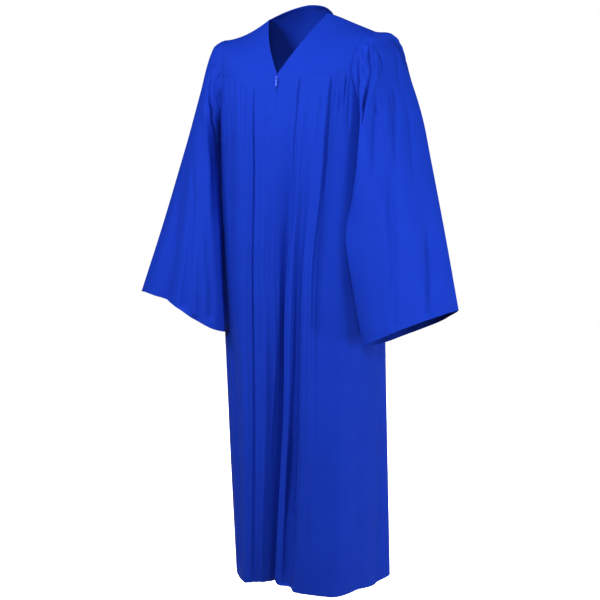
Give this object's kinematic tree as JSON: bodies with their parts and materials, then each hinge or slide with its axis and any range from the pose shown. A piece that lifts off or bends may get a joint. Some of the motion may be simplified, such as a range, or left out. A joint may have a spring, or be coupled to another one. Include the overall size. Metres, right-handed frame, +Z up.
{
  "type": "graduation gown",
  "caption": "Full-length academic gown in its worn form: V neck, gathered yokes, long pleats, open bell sleeves and a centre-front zip with a hanging pull tab.",
  "frame": {"origin": "middle of the shoulder line, between the two neck points, where the gown hangs on the wearer's shoulders", "axes": "+Z up, -Y where the wearer looks, +X to the wearer's left"},
  "size_m": [0.818, 0.3109, 1.3781],
  "materials": {
    "fabric": "matte woven polyester",
    "zip_coil": "matte",
    "enamel": "glossy enamel in the cloth's blue"
  },
  "bodies": {
    "gown": {"yoke_front_right": "fabric", "yoke_front_left": "fabric", "yoke_back": "fabric", "front_right": "fabric", "front_left": "fabric", "back": "fabric", "sleeve_right": "fabric", "sleeve_left": "fabric", "zip_chain": "zip_coil", "zip_slider": "enamel"},
    "pull_tab": {"zip_pull": "enamel"}
  },
  "joints": [
    {"name": "pull_tab_hinge", "type": "hinge", "parent": "gown", "child": "pull_tab", "pos_m": [0.0003, -0.12168, -0.14091], "axis": [-0.9996, -0.0069, -0.0274], "range_deg": [0, 160]}
  ]
}
